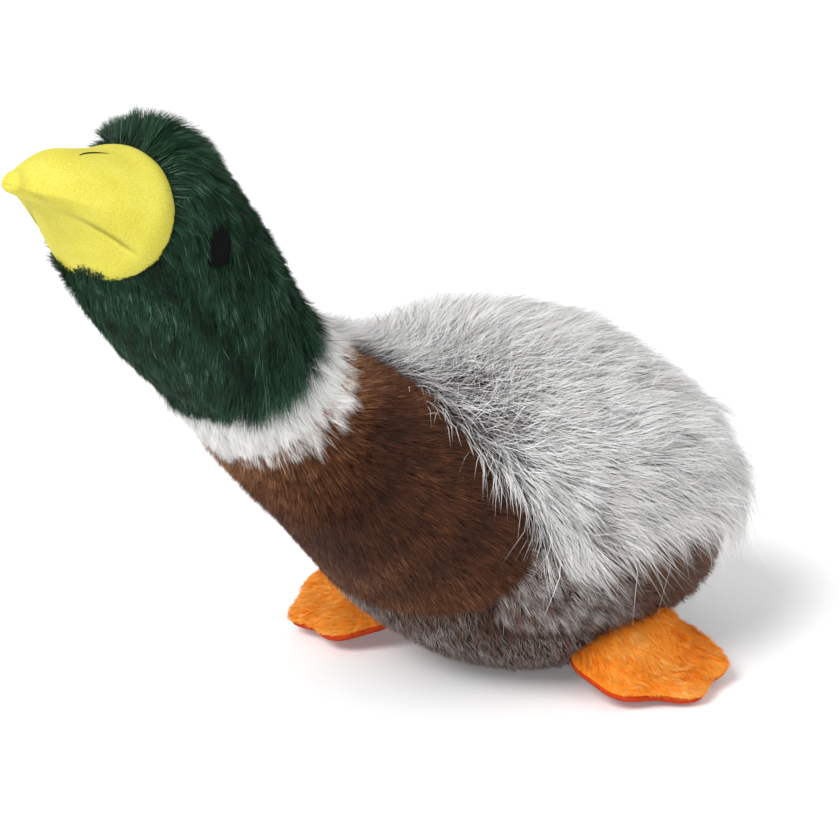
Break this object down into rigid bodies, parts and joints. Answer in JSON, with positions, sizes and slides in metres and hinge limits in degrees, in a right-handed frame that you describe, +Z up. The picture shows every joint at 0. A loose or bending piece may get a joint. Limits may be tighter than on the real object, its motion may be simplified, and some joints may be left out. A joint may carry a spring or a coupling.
{
  "type": "plush duck",
  "caption": "Stuffed plush duck sitting on a flattened base, with raised neck and padded bill, plush collar band, long-piled back and limp padded feet.",
  "frame": {"origin": "on the flat underside of the base, on the duck's middle plane, where the duck rests on its support", "axes": "-Y the way the duck faces, +X its left side, +Z up from its support"},
  "size_m": [0.1934, 0.3602, 0.242],
  "materials": {
    "green_plush": "dark green short-pile plush",
    "white_plush": "white plush",
    "brown_plush": "dark brown short-pile plush",
    "pale_long_pile": "long pale grey and white pile with dark roots",
    "grey_plush": "mottled brown-grey plush",
    "yellow_velour": "yellow short-pile velour",
    "orange_plush": "orange short-pile plush",
    "red_velour": "red-orange flat velour",
    "black_thread": "black satin-stitched embroidery",
    "polyester_fill": "white polyester filling"
  },
  "bodies": {
    "torso": {"back_panel": "pale_long_pile", "base_panel": "grey_plush", "belly_panel_left": "grey_plush", "belly_panel_right": "grey_plush", "breast_panel_left": "brown_plush", "breast_panel_right": "brown_plush", "body_stuffing": "polyester_fill"},
    "neck": {"neck_collar": "white_plush", "neck_stuffing": "polyester_fill"},
    "head": {"head_panel_left": "green_plush", "head_panel_right": "green_plush", "head_stuffing": "polyester_fill", "upper_bill": "yellow_velour", "lower_bill": "yellow_velour", "bill_stuffing": "polyester_fill", "eye_left": "black_thread", "eye_right": "black_thread", "nostril_left": "black_thread", "nostril_right": "black_thread"},
    "left_foot": {"foot_top_left": "orange_plush", "foot_sole_left": "red_velour", "foot_stuffing_left": "polyester_fill"},
    "right_foot": {"foot_top_right": "orange_plush", "foot_sole_right": "red_velour", "foot_stuffing_right": "polyester_fill"}
  },
  "joints": [
    {"name": "neck_nod", "type": "hinge", "parent": "torso", "child": "neck", "pos_m": [0, -0.158, 0.15646], "axis": [1, 0, 0], "range_deg": [-12, 20], "deforming": ["neck_collar", "neck_stuffing"]},
    {"name": "head_turn", "type": "hinge", "parent": "neck", "child": "head", "pos_m": [0, -0.16303, 0.16244], "axis": [0, -0.6428, 0.766], "range_deg": [-25, 25]},
    {"name": "left_foot_lift", "type": "hinge", "parent": "torso", "child": "left_foot", "pos_m": [0.04992, -0.00107, 0.0168], "axis": [-0.2419, -0.9703, 0], "range_deg": [0, 20]},
    {"name": "right_foot_lift", "type": "hinge", "parent": "torso", "child": "right_foot", "pos_m": [-0.05948, -0.02265, 0.02038], "axis": [-0.7989, 0.5955, 0.0842], "range_deg": [0, 20]}
  ]
}
